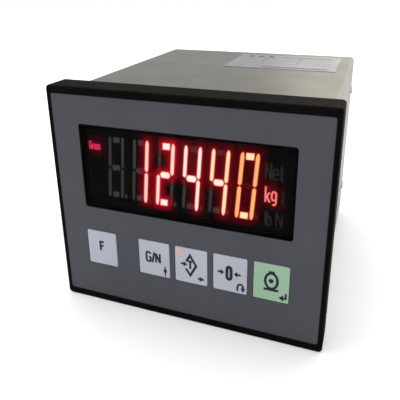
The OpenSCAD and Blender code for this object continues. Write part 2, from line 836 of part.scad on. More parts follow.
// Main board with its four fixing holes
module main_board() {
    color([0.05, 0.3, 0.15]) difference() {
        translate([-main_board_w / 2, front_y + main_front, main_z])
            cube([main_board_w, main_board_len, board_t]);
        board_holes() translate([0, 0, -cut])
            cylinder(r = thread_r + screw_clear, h = board_t + 2 * cut);
    }
}

module board_holes() {
    for (i = [-1, 1], d = [main_front + hole_inset, main_back - 3 * hole_inset])
        translate([i * (main_board_w / 2 - hole_inset), front_y + d, main_z]) children();
}

module board_standoffs() {
    color([0.75, 0.74, 0.7]) board_holes() translate([0, 0, -standoff_h]) difference() {
        cylinder(r = standoff_af / sqrt(3), h = standoff_h, $fn = 6);
        translate([0, 0, case_wall]) cylinder(r = thread_r, h = standoff_h);
    }
}

module board_screws() {
    color("silver") board_holes() translate([0, 0, board_t])
        screw(pilot_r, standoff_h / 2 + board_t);
}

// Metal can over the converter circuit, with a row of vent holes
shield_w = 24;
shield_len_share = 0.25;
shield_h = 9;
shield_wall = 0.6;
shield_hole = 1.5;
shield_side = 3.3;
shield_len = shield_len_share * main_board_len;
shield_x = hole_inset + head_r + shield_side + (shield_w - main_board_w) / 2;
shield_d = rear_face - dsub_in - shield_len - 2 * shield_wall;

module converter_shield() {
    color([0.78, 0.78, 0.76]) difference() {
        block(shield_x, shield_d, main_top + shield_h / 2, shield_w, shield_len, shield_h);
        block(shield_x, shield_d + shield_wall, main_top + shield_h / 2 - shield_wall,
            shield_w - 2 * shield_wall, shield_len - 2 * shield_wall, shield_h);
        for (i = [-2:2])
            translate([shield_x + 3 * i * shield_hole, front_y + shield_d + shield_len / 2, main_top])
                cylinder(r = shield_hole, h = shield_h + cut);
    }
}

// Power transformer: a core with two windows, and a coil round its middle limb
core_w = 48;
core_h = 40;
core_t = 20;
limb_w = 16;
core_window = (core_w - 2 * limb_w) / 2;
core_side = 5;
part_gap = 4;
coil_gap = 0.3;
coil_depth = core_t + 2 * core_window - 2 * coil_gap;
core_x = core_side + core_w / 2 - main_board_w / 2;
core_d = shield_d - part_gap - (coil_depth + core_t) / 2;

module transformer_core() {
    color([0.35, 0.34, 0.33]) difference() {
        block(core_x, core_d, main_top + core_h / 2, core_w, core_t, core_h);
        for (i = [-1, 1]) block(core_x + i * (limb_w + core_window) / 2, core_d - cut,
            main_top + core_h / 2, core_window, core_t + 2 * cut, core_h - limb_w);
    }
}

module transformer_coil() {
    coil_w = limb_w + 2 * core_window - 2 * coil_gap;
    coil_h = core_h - limb_w - 2 * coil_gap;
    color([0.7, 0.45, 0.2])
        translate([core_x, front_y + core_d + core_t / 2, main_top + (core_h - coil_h) / 2])
            linear_extrude(coil_h) difference() {
                round_rect(coil_w, coil_depth, core_window / 2);
                square([limb_w + 2 * coil_gap, core_t + 2 * coil_gap], center = true);
            }
}

// Electrolytic cans in front of the transformer
can_r = 5.5;
can_h = 22;
can_groove = 0.5;
can_gap = 1;
can_side = 10.5;
can_x = can_side + can_r - main_board_w / 2;
can_d = core_d - (coil_depth - core_t) / 2 - 2 * part_gap - can_r;

module filter_capacitors() {
    color([0.15, 0.17, 0.3]) for (i = [0:2])
        translate([can_x + i * (2 * can_r + can_gap), front_y + can_d, main_top]) rotate_extrude()
            polygon([
                [0, 0], [can_r, 0], [can_r, 2 * can_groove], [can_r - can_groove, 3 * can_groove],
                [can_r, 4 * can_groove], [can_r, can_h - can_groove], [can_r - can_groove, can_h],
                [0, can_h]
            ]);
}

// Finned heatsink with the regulator screwed flat to its face
sink_w = 34;
sink_h = 26;
sink_base = 3;
fin_t = 1.4;
fin_len = 11;
fin_count = 7;
sink_side = 10;
sink_x = main_board_w / 2 - sink_side - sink_w / 2;
sink_d = core_d + (core_t - sink_base - fin_len) / 2;
reg_w = 10;
reg_t = 4.5;
reg_h = 15;
leg_w = 0.9;
leg_pitch = 2.54;

module heatsink() {
    color([0.12, 0.12, 0.13])
        translate([sink_x, front_y + sink_d, main_top]) linear_extrude(sink_h) {
            translate([-sink_w / 2, 0]) square([sink_w, sink_base]);
            for (i = [0:fin_count - 1])
                translate([-sink_w / 2 + i * (sink_w - fin_t) / (fin_count - 1), sink_base])
                    square([fin_t, fin_len]);
        }
}

module regulator() {
    color([0.2, 0.2, 0.2]) {
        block(sink_x, sink_d - reg_t, main_top + sink_h - reg_h / 2, reg_w, reg_t, reg_h);
        for (i = [-1:1]) block(sink_x + i * leg_pitch, sink_d - reg_t / 2 - leg_w / 2,
            main_top + (sink_h - reg_h) / 2, leg_w, leg_w, sink_h - reg_h);
    }
}

// Chips on the main board, and two drivers behind the front board
chip_t = 1.8;
chip_w = 14;
small_chip = 7;
chip_side = 15;
last_chip_x = main_board_w / 2 - chip_side;
chip_d = sink_d - reg_t - 2 * part_gap - chip_w;

module board_chips() {
    color([0.1, 0.1, 0.1]) {
        block(last_chip_x - 2.3 * small_chip - chip_w / 2, chip_d, main_top + chip_t / 2,
            chip_w, chip_w, chip_t);
        for (i = [0, 1]) block(last_chip_x - i * 1.3 * small_chip, chip_d,
            main_top + chip_t / 2, small_chip, chip_w, chip_t);
        for (i = [-1, 1]) block(i * 2 * chip_w, board_back, digit_z, chip_w, chip_t, small_chip);
    }
}

// Two output relays behind the signal terminals
relay_w = 15.5;
relay_len = 19;
relay_h = 15.5;
relay_gap = 2;

module output_relays() {
    color([0.12, 0.25, 0.5]) for (i = [0, 1])
        block(signal_x + (i - 1 / 2) * (relay_w + relay_gap),
            rear_face - header_in - relay_len - relay_gap,
            main_top + relay_h / 2, relay_w, relay_len, relay_h);
}

// Ribbon cable with a socket at each end, and the two box headers it plugs into
link_w = 30;
link_h = 9;
link_wall = 1.2;
link_d = 9;
link_plug = 6;
link_z = 40;
ribbon_t = 1;
ribbon_w = 25.4;
ribbon_r = 7;
link_cap = 3;
front_plug_back = board_back + link_d + link_cap;
main_plug_top = main_top + link_d + link_cap;
ribbon_d = front_plug_back - ribbon_t;
ribbon_z = main_plug_top - ribbon_t;
main_link_d = ribbon_d + ribbon_r + link_h;

module box_header() {
    difference() {
        linear_extrude(link_d) square([link_w, link_h], center = true);
        translate([0, 0, link_wall]) linear_extrude(link_d)
            square([link_w - 2 * link_wall, link_h - 2 * link_wall], center = true);
    }
}

module link_socket() {
    gap = run_gap;
    translate([0, 0, link_d - link_plug]) linear_extrude(link_plug)
        square([link_w - 2 * link_wall - 2 * gap, link_h - 2 * link_wall - 2 * gap], center = true);
    translate([0, 0, link_d]) linear_extrude(link_cap - ribbon_t)
        square([link_w - 2 * link_wall, link_h - 2 * link_wall], center = true);
}

// Children in a header's own frame, on the back of the front board
module at_front_link() {
    translate([0, front_y + board_back, link_z]) rotate([-90, 0, 0]) children();
}

// Children in a header's own frame, on top of the main board
module at_main_link() {
    translate([0, front_y + main_link_d, main_top]) children();
}

module front_header() { color([0.08, 0.08, 0.08]) at_front_link() box_header(); }
module main_header() { color([0.08, 0.08, 0.08]) at_main_link() box_header(); }

module ribbon_cable() {
    bend_z = ribbon_z + ribbon_t + ribbon_r;
    bend_d = ribbon_d + ribbon_t + ribbon_r;
    top_z = link_z + link_h / 2 - link_wall;
    end_d = main_link_d + link_h / 2 - link_wall;
    color([0.6, 0.6, 0.6]) {
        at_front_link() link_socket();
        at_main_link() link_socket();
        block(0, ribbon_d, (bend_z + top_z) / 2, ribbon_w, ribbon_t, top_z - bend_z);
        block(0, bend_d, ribbon_z + ribbon_t / 2, ribbon_w, end_d - bend_d, ribbon_t);
        translate([-ribbon_w / 2, front_y + bend_d, bend_z]) rotate([0, 90, 0])
            rotate_extrude(angle = -90) translate([ribbon_r, 0]) square([ribbon_t, ribbon_w]);
    }
}

bezel();
front_overlay();
display_window();
digit_block(0);  // digit_block_1
digit_block(1);  // digit_block_2
digit_block(2);  // digit_block_3
digit_block(3);  // digit_block_4
digit_block(4);  // digit_block_5
digit_block(5);  // digit_block_6
segments_lit();
segments_unlit();
status_lightbox();
unit_lightbox();
status_film();
unit_film();
front_board();
front_board_screws();
key_switches();
front_header();
ribbon_cable();
main_header();
main_board();
board_standoffs();
board_screws();
transformer_core();
transformer_coil();
filter_capacitors();
heatsink();
regulator();
converter_shield();
board_chips();
output_relays();
panel_gasket();
case_sleeve();
side_nuts();
case_screws();
rear_panel();
load_cell_connector();
connector_jackscrews();
power_header();
power_plug();
signal_header();
signal_plug();
plug_screws();
earth_stud();
earth_nuts();
earth_washers();
rating_label();
key_function();
key_gross_net();
key_tare();
key_zero();
key_enter();
actuator_function();
actuator_gross_net();
actuator_tare();
actuator_zero();
actuator_enter();
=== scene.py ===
"""Panel weighing indicator: the looks of its bezel, overlay, lit display, keys and metal case."""
import math

import bpy
import bmesh
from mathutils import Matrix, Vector


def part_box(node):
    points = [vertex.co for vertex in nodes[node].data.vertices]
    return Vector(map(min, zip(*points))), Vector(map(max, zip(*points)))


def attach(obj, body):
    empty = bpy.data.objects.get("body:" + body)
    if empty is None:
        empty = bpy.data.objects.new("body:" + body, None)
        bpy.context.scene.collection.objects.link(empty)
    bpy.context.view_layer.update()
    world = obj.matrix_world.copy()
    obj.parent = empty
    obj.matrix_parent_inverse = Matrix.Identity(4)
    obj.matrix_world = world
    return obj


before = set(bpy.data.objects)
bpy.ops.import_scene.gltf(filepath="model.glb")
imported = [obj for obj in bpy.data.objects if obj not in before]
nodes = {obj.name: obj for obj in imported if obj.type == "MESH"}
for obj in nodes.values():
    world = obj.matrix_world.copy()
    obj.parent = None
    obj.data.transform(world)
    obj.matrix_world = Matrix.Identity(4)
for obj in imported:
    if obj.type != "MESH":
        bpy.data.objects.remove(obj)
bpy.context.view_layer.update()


# Camera. It stands where the photographer stood: a little above the indicator and to its
# right, close enough that the far edge of the front looks clearly shorter.
camera_data = bpy.data.cameras.new("viewpoint")
camera_data.lens = 42.488
camera_data.sensor_width = 36
camera_data.shift_y = -0.15
camera_data.clip_start = 0.01
camera = bpy.data.objects.new("viewpoint", camera_data)
camera.location = (0.08079, -0.2734, 0.17389)
camera.rotation_euler = [math.radians(angle) for angle in (70.717, 0.561, 20.115)]
bpy.context.collection.objects.link(camera)
scene = bpy.context.scene
scene.camera = camera
scene.view_settings.view_transform = "Standard"


# Studio. A white board under the indicator, in a pale room that is a little darker on the
# left and near the ground. Four soft boxes light it: one above, one at the left, a weak one
# in front and a warm one behind.
def make_mesh(name, points, faces):
    mesh = bpy.data.meshes.new(name)
    mesh.from_pydata(points, [], faces)
    mesh.update()
    item = bpy.data.objects.new(name, mesh)
    bpy.context.collection.objects.link(item)
    return item


def new_material(name, color, roughness, metallic=0.0, specular=0.5):
    material = bpy.data.materials.new(name)
    material.use_nodes = True
    shader = material.node_tree.nodes["Principled BSDF"]
    shader.inputs["Base Color"].default_value = (*color, 1)
    shader.inputs["Roughness"].default_value = roughness
    shader.inputs["Metallic"].default_value = metallic
    shader.inputs["Specular IOR Level"].default_value = specular
    return material, material.node_tree, shader


def colour_ramp(tree, value, first, last, start=0.0, end=1.0):
    ramp = tree.nodes.new("ShaderNodeValToRGB")
    elements = ramp.color_ramp.elements
    elements[0].position, elements[0].color = start, (*first, 1)
    elements[1].position, elements[1].color = end, (*last, 1)
    tree.links.new(value, ramp.inputs["Fac"])
    return ramp.outputs["Color"]


def soft_box(name, place, aim, width, height, power, color=(1, 1, 1)):
    lamp = bpy.data.lights.new(name, "AREA")
    lamp.shape = "RECTANGLE"
    lamp.size, lamp.size_y = width, height
    lamp.energy = power
    lamp.color = color
    holder = bpy.data.objects.new(name, lamp)
    holder.location = place
    look = Vector(aim) - Vector(place)
    holder.rotation_euler = look.to_track_quat("-Z", "Y").to_euler()
    holder.visible_camera = False
    bpy.context.collection.objects.link(holder)


floor_half = 6.0
floor = make_mesh(
    "studio_floor",
    [(x * floor_half, y * floor_half, 0) for x, y in ((-1, -1), (1, -1), (1, 1), (-1, 1))],
    [(0, 1, 2, 3)],
)
floor_paint, floor_tree, floor_shader = new_material(
    "white_board", (0.96, 0.96, 0.96), roughness=0.7, specular=0.1)
floor_noise = floor_tree.nodes.new("ShaderNodeTexNoise")
floor_noise.inputs["Scale"].default_value = 1.5
floor_tree.links.new(
    colour_ramp(floor_tree, floor_noise.outputs["Fac"], (0.955, 0.955, 0.96), (0.98, 0.98, 0.98)),
    floor_shader.inputs["Base Color"])
floor.data.materials.append(floor_paint)

room = bpy.data.worlds.new("pale_room")
room.use_nodes = True
scene.world = room
room_tree = room.node_tree
room_light = room_tree.nodes["Background"]
room_place = room_tree.nodes.new("ShaderNodeTexCoord")
room_split = room_tree.nodes.new("ShaderNodeSeparateXYZ")
room_tree.links.new(room_place.outputs["Generated"], room_split.inputs["Vector"])
room_colour = colour_ramp(room_tree, room_split.outputs["Z"], (0.82, 0.82, 0.83), (1, 1, 1),
                          end=0.6)
room_side = room_tree.nodes.new("ShaderNodeMapRange")
room_side.inputs["From Min"].default_value = -0.7
room_side.inputs["From Max"].default_value = 0.7
room_side.inputs["To Min"].default_value = 0.86
room_side.inputs["To Max"].default_value = 1.02
room_shade = room_tree.nodes.new("ShaderNodeVectorMath")
room_shade.operation = "SCALE"
room_tree.links.new(room_split.outputs["X"], room_side.inputs["Value"])
room_tree.links.new(room_colour, room_shade.inputs["Vector"])
room_tree.links.new(room_side.outputs["Result"], room_shade.inputs["Scale"])
room_tree.links.new(room_shade.outputs["Vector"], room_light.inputs["Color"])
room_light.inputs["Strength"].default_value = 1.12

middle = (0, 0, 0.06)
soft_box("soft_box_above", (-0.25, 0.25, 1.3), middle, width=1.3, height=1.1, power=7.5)
soft_box("soft_box_left", (-1.2, -0.5, 0.7), middle, width=0.9, height=0.9, power=4.0,
         color=(0.97, 0.98, 1))
soft_box("soft_box_front", (0.5, -1.4, 0.9), middle, width=0.9, height=0.7, power=3.0)
soft_box("soft_box_behind", (0.5, 1.4, 0.45), middle, width=1.6, height=0.8, power=5.5,
         color=(1, 0.93, 0.82))


# Bezel. One injection moulding in black engineering plastic with a fine spark-eroded
# texture; its edges are painted paler, partly as rubbed wear and partly as a painted highlight,
# and its top face is painted a lighter brown, partly as dust and partly as painted light. The
# gasket behind it, which seals it to the panel, is black foam.
MM = 0.001
bump_depth = 0.02 * MM


def node_group(name, inputs, outputs):
    group = bpy.data.node_groups.new(name, "ShaderNodeTree")
    kinds = {"value": "NodeSocketFloat", "colour": "NodeSocketColor"}
    for label, kind in inputs:
        group.interface.new_socket(label, in_out="INPUT", socket_type=kinds[kind])
    for label, kind in outputs:
        group.interface.new_socket(label, in_out="OUTPUT", socket_type=kinds[kind])
    start = group.nodes.new("NodeGroupInput")
    end = group.nodes.new("NodeGroupOutput")
    return group, start, end


def own_place(tree):
    return tree.nodes.new("ShaderNodeTexCoord").outputs["Object"]


def surface_normal(tree):
    return tree.nodes.new("ShaderNodeNewGeometry").outputs["Normal"]


def noise(tree, vector, scale, detail=3.0):
    node = tree.nodes.new("ShaderNodeTexNoise")
    node.inputs["Detail"].default_value = detail
    tree.links.new(vector, node.inputs["Vector"])
    if isinstance(scale, (int, float)):
        node.inputs["Scale"].default_value = scale
    else:
        tree.links.new(scale, node.inputs["Scale"])
    return node.outputs["Fac"]


def spread(tree, value, between, onto):
    node = tree.nodes.new("ShaderNodeMapRange")
    for socket, number in zip(("From Min", "From Max"), between):
        node.inputs[socket].default_value = number
    for socket, number in zip(("To Min", "To Max"), onto):
        if isinstance(number, (int, float)):
            node.inputs[socket].default_value = number
        else:
            tree.links.new(number, node.inputs[socket])
    tree.links.new(value, node.inputs["Value"])
    return node.outputs["Result"]


def multiply(tree, first, second):
    node = tree.nodes.new("ShaderNodeMath")
    node.operation = "MULTIPLY"
    tree.links.new(first, node.inputs[0])
    tree.links.new(second, node.inputs[1])
    return node.outputs[0]


def blend_colour(tree, factor, first, second):
    node = tree.nodes.new("ShaderNodeMix")
    node.data_type = "RGBA"
    tree.links.new(factor, node.inputs["Factor"])
    colour_a, colour_b = 6, 7
    tree.links.new(first, node.inputs[colour_a])
    tree.links.new(second, node.inputs[colour_b])
    colour_result = 2
    return node.outputs[colour_result]


grain, grain_in, grain_out = node_group(
    "moulded_grain",
    [("Grain Scale", "value"), ("Colour", "colour"), ("Patch Colour", "colour"),
     ("Smooth", "value"), ("Dull", "value")],
    [("Colour", "colour"), ("Roughness", "value"), ("Height", "value")],
)
grain_place = own_place(grain)
fine_bumps = noise(grain, grain_place, grain_in.outputs["Grain Scale"], detail=2)
patches = spread(grain, noise(grain, grain_place, scale=38, detail=4), (0.35, 0.7), (0.0, 1.0))
grain.links.new(
    blend_colour(grain, patches, grain_in.outputs["Colour"], grain_in.outputs["Patch Colour"]),
    grain_out.inputs["Colour"])
grain.links.new(
    spread(grain, fine_bumps, (0.35, 0.65), (grain_in.outputs["Smooth"], grain_in.outputs["Dull"])),
    grain_out.inputs["Roughness"])
grain.links.new(fine_bumps, grain_out.inputs["Height"])

# Upward faces take a dust colour, partly settled dust and partly painted shading of the tops:
# lighter on the black bezel, darker on the steel case.
dust_shading, dust_shading_in, dust_shading_out = node_group(
    "dust_and_painted_top_shading", [("Colour", "colour"), ("Dust And Shading Colour", "colour"), ("Amount", "value")],
    [("Colour", "colour")])
dust_shading_normal = dust_shading.nodes.new("ShaderNodeSeparateXYZ")
dust_shading.links.new(surface_normal(dust_shading), dust_shading_normal.inputs["Vector"])
facing_up = spread(dust_shading, dust_shading_normal.outputs["Z"], (0.3, 1.0), (0.0, dust_shading_in.outputs["Amount"]))
drifts = spread(dust_shading, noise(dust_shading, own_place(dust_shading), scale=60, detail=5), (0.2, 0.7), (0.4, 1.0))
dust_shading.links.new(
    blend_colour(dust_shading, multiply(dust_shading, facing_up, drifts),
                 dust_shading_in.outputs["Colour"], dust_shading_in.outputs["Dust And Shading Colour"]),
    dust_shading_out.inputs["Colour"])

# Edges take a paler colour, partly rubbed wear and partly a painted highlight where light would
# catch the rim.
wear_and_highlight, wear_and_highlight_in, wear_and_highlight_out = node_group(
    "edge_wear_and_highlight",
    [("Colour", "colour"), ("Worn And Highlight Colour", "colour"), ("Reach", "value"), ("Amount", "value")],
    [("Colour", "colour")])
rounded = wear_and_highlight.nodes.new("ShaderNodeBevel")
rounded.samples = 6
wear_and_highlight.links.new(wear_and_highlight_in.outputs["Reach"], rounded.inputs["Radius"])
bend = wear_and_highlight.nodes.new("ShaderNodeVectorMath")
bend.operation = "DOT_PRODUCT"
wear_and_highlight.links.new(rounded.outputs["Normal"], bend.inputs[0])
wear_and_highlight.links.new(surface_normal(wear_and_highlight), bend.inputs[1])
at_edge = spread(wear_and_highlight, bend.outputs["Value"], (0.99, 0.85), (0.0, wear_and_highlight_in.outputs["Amount"]))
edge_breakup = spread(wear_and_highlight, noise(wear_and_highlight, own_place(wear_and_highlight), scale=180, detail=4), (0.3, 0.6), (0.25, 1.0))
wear_and_highlight.links.new(
    blend_colour(wear_and_highlight, multiply(wear_and_highlight, at_edge, edge_breakup),
                 wear_and_highlight_in.outputs["Colour"], wear_and_highlight_in.outputs["Worn And Highlight Colour"]),
    wear_and_highlight_out.inputs["Colour"])


def place_group(tree, group, values):
    node = tree.nodes.new("ShaderNodeGroup")
    node.node_tree = group
    for label, value in values.items():
        node.inputs[label].default_value = (*value, 1) if isinstance(value, tuple) else value
    return node


def finish_with(tree, shader, group, values, bump):
    node = place_group(tree, group, values)
    tree.links.new(node.outputs["Colour"], shader.inputs["Base Color"])
    tree.links.new(node.outputs["Roughness"], shader.inputs["Roughness"])
    relief = tree.nodes.new("ShaderNodeBump")
    relief.inputs["Strength"].default_value = bump
    relief.inputs["Distance"].default_value = bump_depth
    tree.links.new(node.outputs["Height"], relief.inputs["Height"])
    tree.links.new(relief.outputs["Normal"], shader.inputs["Normal"])


def lay_over(material, group, values):
    tree = material.node_tree
    shader = tree.nodes["Principled BSDF"]
    node = place_group(tree, group, values)
    tree.links.new(shader.inputs["Base Color"].links[0].from_socket, node.inputs["Colour"])
    tree.links.new(node.outputs["Colour"], shader.inputs["Base Color"])
    return material


def add_dust_and_top_shading(material, color, amount):
    return lay_over(material, dust_shading, {"Dust And Shading Colour": color, "Amount": amount})


def add_wear_and_highlight(material, color, reach_mm, amount):
    return lay_over(material, wear_and_highlight,
                    {"Worn And Highlight Colour": color, "Reach": reach_mm * MM, "Amount": amount})


def moulded(name, color, patch_color, size_mm, smooth, dull, bump=0.5, specular=0.5):
    material, tree, shader = new_material(name, color, dull, specular=specular)
    finish_with(tree, shader, grain,
                {"Grain Scale": 1 / (size_mm * MM), "Colour": color, "Patch Colour": patch_color,
                 "Smooth": smooth, "Dull": dull}, bump)
    return material


def finish_node(name, material):
    mesh = nodes[name].data
    mesh.materials.clear()
    mesh.materials.append(material)


bezel_black = moulded("bezel_plastic", (0.0022, 0.0022, 0.0025), (0.0035, 0.0033, 0.003),
                      size_mm=0.35, smooth=0.5, dull=0.75, bump=0.6, specular=0.013)
# Paler edges: wear and a painted highlight; lighter brown top: dust and painted light.
add_wear_and_highlight(bezel_black, (0.014, 0.014, 0.014), reach_mm=0.5, amount=0.5)
finish_node("bezel", add_dust_and_top_shading(bezel_black, (0.009, 0.0076, 0.0058), amount=0.8))
finish_node("panel_gasket", moulded("gasket_foam", (0.012, 0.012, 0.013), (0.02, 0.02, 0.02),
                                    size_mm=0.5, smooth=0.75, dull=0.95, bump=1.0, specular=0.2))


# Front overlay. Matt polyester film, printed slate grey from behind, laid into the
# bezel's recess; the sheen is soft and even with a few wiped patches.
finish_node("front_overlay", moulded("overlay_film", (0.045, 0.048, 0.058), (0.049, 0.052, 0.061),
                                     size_mm=0.22, smooth=0.42, dull=0.6, bump=0.25,
                                     specular=0.18))


# Display housings. Six black moulded blocks with a well for each segment, and two light
# boxes with black films for the words and unit signs. A thin black mask card frames them
# close behind the pane.
housing_black = moulded("housing_black", (0.003, 0.003, 0.003), (0.005, 0.005, 0.005),
                        size_mm=0.4, smooth=0.65, dull=0.85, bump=0.04, specular=0.08)
for digit in range(1, 7):
    finish_node(f"digit_block_{digit}", housing_black)
finish_node("status_lightbox", housing_black)
finish_node("unit_lightbox", housing_black)
film_black = moulded("legend_film", (0.003, 0.003, 0.003), (0.0045, 0.0045, 0.0045),
                     size_mm=0.3, smooth=0.65, dull=0.8, bump=0.04, specular=0.08)
finish_node("status_film", film_black)
finish_node("unit_film", film_black)

front_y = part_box("bezel")[0].y
status_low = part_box("status_lightbox")[0]
unit_low, unit_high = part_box("unit_lightbox")
mask_gap = 0.05 * MM
mask_face, mask_back = front_y + 4.48 * MM, front_y + 4.8 * MM
mask_outer = (-55.3 * MM, 55.3 * MM, 58.0 * MM, 104.6 * MM)
mask_inner = (status_low.x - mask_gap, unit_high.x + mask_gap,
              unit_low.z - mask_gap, unit_high.z + mask_gap)
mask_points = [(x, y, z) for y in (mask_face, mask_back)
               for left, right, foot, top in (mask_outer, mask_inner)
               for x, z in ((left, foot), (right, foot), (right, top), (left, top))]
mask_faces = []
for i in range(4):
    j = (i + 1) % 4
    mask_faces += [(i, j, 4 + j, 4 + i), (8 + j, 8 + i, 12 + i, 12 + j),
                   (j, i, 8 + i, 8 + j), (4 + i, 4 + j, 12 + j, 12 + i)]
mask = make_mesh("window_mask", mask_points, mask_faces)
mask.data.materials.append(film_black)
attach(mask, "housing")


# Segments. Milky light pipes: the dark ones show grey-brown, and each lit one has a cap
# that is nearly white in its middle and red at its edge. Round each lit cap a painted red glow
# on a clear sheet stands in for the light that spreads round it.
def glowing(name, color, dim, bright, strength, roughness=0.5):
    material, tree, shader = new_material(name, color, roughness)
    clouds_per_metre = 1 / (2.5 * MM)
    clouds = noise(tree, own_place(tree), clouds_per_metre)
    tree.links.new(colour_ramp(tree, clouds, dim, bright, start=0.3, end=0.7),
                   shader.inputs["Emission Color"])
    shader.inputs["Emission Strength"].default_value = strength
    return material


dark_pipe = moulded("segment_dark", (0.19, 0.17, 0.16), (0.155, 0.14, 0.13),
                    size_mm=0.6, smooth=0.4, dull=0.5, bump=0.08, specular=0.3)
finish_node("segments_unlit", dark_pipe)
lit_pipe = glowing("segment_lit", (0.8, 0.2, 0.1), dim=(0.85, 0.07, 0.03), bright=(1, 0.13, 0.05),
                   strength=1.5, roughness=0.4)
finish_node("segments_lit", lit_pipe)

digit_boxes = [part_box(f"digit_block_{digit}") for digit in range(1, 7)]
digit_middles = [(low.x + high.x) / 2 for low, high in digit_boxes]
digit_z = (digit_boxes[0][0].z + digit_boxes[0][1].z) / 2
digit_height, upright_gap, upright_width = 33.4 * MM, 7.2 * MM, 1.6 * MM
bar_height, bar_length, middle_length, end_gap = 3.1 * MM, 3.6 * MM, 5.2 * MM, 0.7 * MM
lean = math.tan(math.radians(4.4))
uprights = "bcef"

# Each digit from the left: its lit segments, the green and blue in the middle of its
# uprights and in the middle of its bars, and how strong its painted glow is.
digit_looks = [
    ("", (0.7, 0.6), (0.8, 0.8), 1.0),
    ("bc", (0.62, 0.56), (0.8, 0.8), 1.0),
    ("abged", (0.7, 0.6), (0.8, 0.78), 1.35),
    ("fgbc", (0.8, 0.74), (0.82, 0.8), 0.85),
    ("fgbc", (0.75, 0.45), (0.78, 0.66), 0.8),
    ("abcdef", (0.45, 0.15), (0.78, 0.42), 0.46),
]


def segment_outline(name):
    half_width, top, bar = upright_width / 2, digit_height / 2, bar_height / 2
    if name in uprights:
        side = upright_gap / 2 * (1 if name in "bc" else -1)
        way = 1 if name in "bf" else -1
        inner_end, inner_shoulder = end_gap / 2, end_gap / 2 + half_width
        outer_shoulder, blunt = top - 2 * half_width, half_width / 3
        shape = [(-half_width, inner_shoulder), (0, inner_end), (half_width, inner_shoulder),
                 (half_width, outer_shoulder), (blunt, top), (-blunt, top),
                 (-half_width, outer_shoulder)]
        shape = [(side + u, way * v) for u, v in shape]
        if way < 0:
            shape.reverse()
    elif name in "ad":
        rise = (top - bar) * (1 if name == "a" else -1)
        shape = [(-bar_length / 2, rise - bar), (bar_length / 2, rise - bar),
                 (bar_length / 2, rise + bar), (-bar_length / 2, rise + bar)]
    else:
        tip, flat = middle_length / 2, middle_length / 2 - bar / 2
        shape = [(-tip, 0), (-flat, -bar), (flat, -bar), (tip, 0), (flat, bar), (-flat, bar)]
    return [(u + v * lean, v) for u, v in shape]


def ring_round(shape, reach):
    points = []
    count, corner_steps = len(shape), 3
    for i, (u, v) in enumerate(shape):
        before, after = shape[i - 1], shape[(i + 1) % count]
        first = math.atan2(-(u - before[0]), v - before[1])
        last = math.atan2(-(after[0] - u), after[1] - v)
        turn = (last - first) % (2 * math.pi)
        for k in range(corner_steps + 1):
            angle = first + turn * k / corner_steps
            points.append((u + reach * math.cos(angle), v + reach * math.sin(angle)))
    return points


def shrink(shape, amount):
    middle_u = sum(u for u, v in shape) / len(shape)
    middle_v = sum(v for u, v in shape) / len(shape)
    wide = max(abs(u - middle_u - (v - middle_v) * lean) for u, v in shape)
    tall = max(abs(v - middle_v) for u, v in shape)
    return [(middle_u + (v - middle_v) * lean * (1 - amount / tall)
             + (u - middle_u - (v - middle_v) * lean) * (1 - amount / wide),
             middle_v + (v - middle_v) * (1 - amount / tall)) for u, v in shape]


def ring_faces(base, count, rings):
    faces = []
    for k in range(rings - 1):
        low, high = base + k * count, base + (k + 1) * count
        for i in range(count):
            j = (i + 1) % count
            faces.append((low + i, low + j, high + j, high + i))
    return faces


def coloured_mesh(name, points, faces, colours):
    item = make_mesh(name, points, faces)
    layer = item.data.color_attributes.new("shade", "FLOAT_COLOR", "POINT")
    for i, colour in enumerate(colours):
        layer.data[i].color = colour
    return item


def painted_shade(tree):
    node = tree.nodes.new("ShaderNodeVertexColor")
    node.layer_name = "shade"
    return node.outputs["Color"]


cap_points, cap_faces, cap_colours = [], [], []
painted_glow_points, painted_glow_faces, painted_glow_colours = [], [], []
cap_y, painted_glow_y, word_painted_glow_y = front_y + 4.35 * MM, front_y + 4.55 * MM, front_y + 4.56 * MM
layer_step = 0.008 * MM
cap_overhang, cap_rim, cap_core, cap_corner = 0.22 * MM, 0.22 * MM, 0.5 * MM, 0.1 * MM
rim_red = (0.85, 0.07, 0.05, 1)
painted_glow_steps_mm = [(0.0, 0.95), (0.3, 0.8), (0.7, 0.58), (1.3, 0.4), (2.2, 0.28), (3.4, 0.13),
                 (5.2, 0.0)]


# Rings of painted glow round a shape, fading outwards; they stand in for spread light.
def spread_painted_glow(shape, place, depth_y, share):
    base = len(painted_glow_points)
    for reach, strength in painted_glow_steps_mm:
        ring = ring_round(shape, reach * MM)
        painted_glow_points.extend([(place[0] + u, depth_y, place[1] + v) for u, v in ring])
        painted_glow_colours.extend([(*[strength * share] * 3, 1)] * len(ring))
    painted_glow_faces.extend(ring_faces(base, len(ring), len(painted_glow_steps_mm)))
    return base, len(ring)


lit_count = 0
for digit, (lit_segments, upright_core, bar_core, painted_glow_share) in enumerate(digit_looks):
    for name in lit_segments:
        shape = segment_outline(name)
        place = (digit_middles[digit], digit_z)
        green, blue = upright_core if name in uprights else bar_core
        base = len(cap_points)
        outlines = [ring_round(shape, cap_overhang),
                    ring_round(shrink(shape, cap_rim), cap_corner),
                    ring_round(shrink(shape, cap_core), cap_corner)]
        colours = [rim_red, (1.0, 0.12 + 0.6 * green, 0.05 + 0.6 * blue, 1),
                   (1.1, 1.1 * green, 1.1 * blue, 1)]
        count = len(outlines[0])
        for outline, colour in zip(outlines, colours):
            cap_points += [(place[0] + u, cap_y, place[1] + v) for u, v in outline]
            cap_colours += [colour] * count
        cap_faces += ring_faces(base, count, len(outlines))
        core_start = base + count * (len(outlines) - 1)
        cap_faces.append(tuple(core_start + i for i in range(count)))
        spread_painted_glow(shape, place, painted_glow_y - lit_count * layer_step, painted_glow_share)
        lit_count += 1

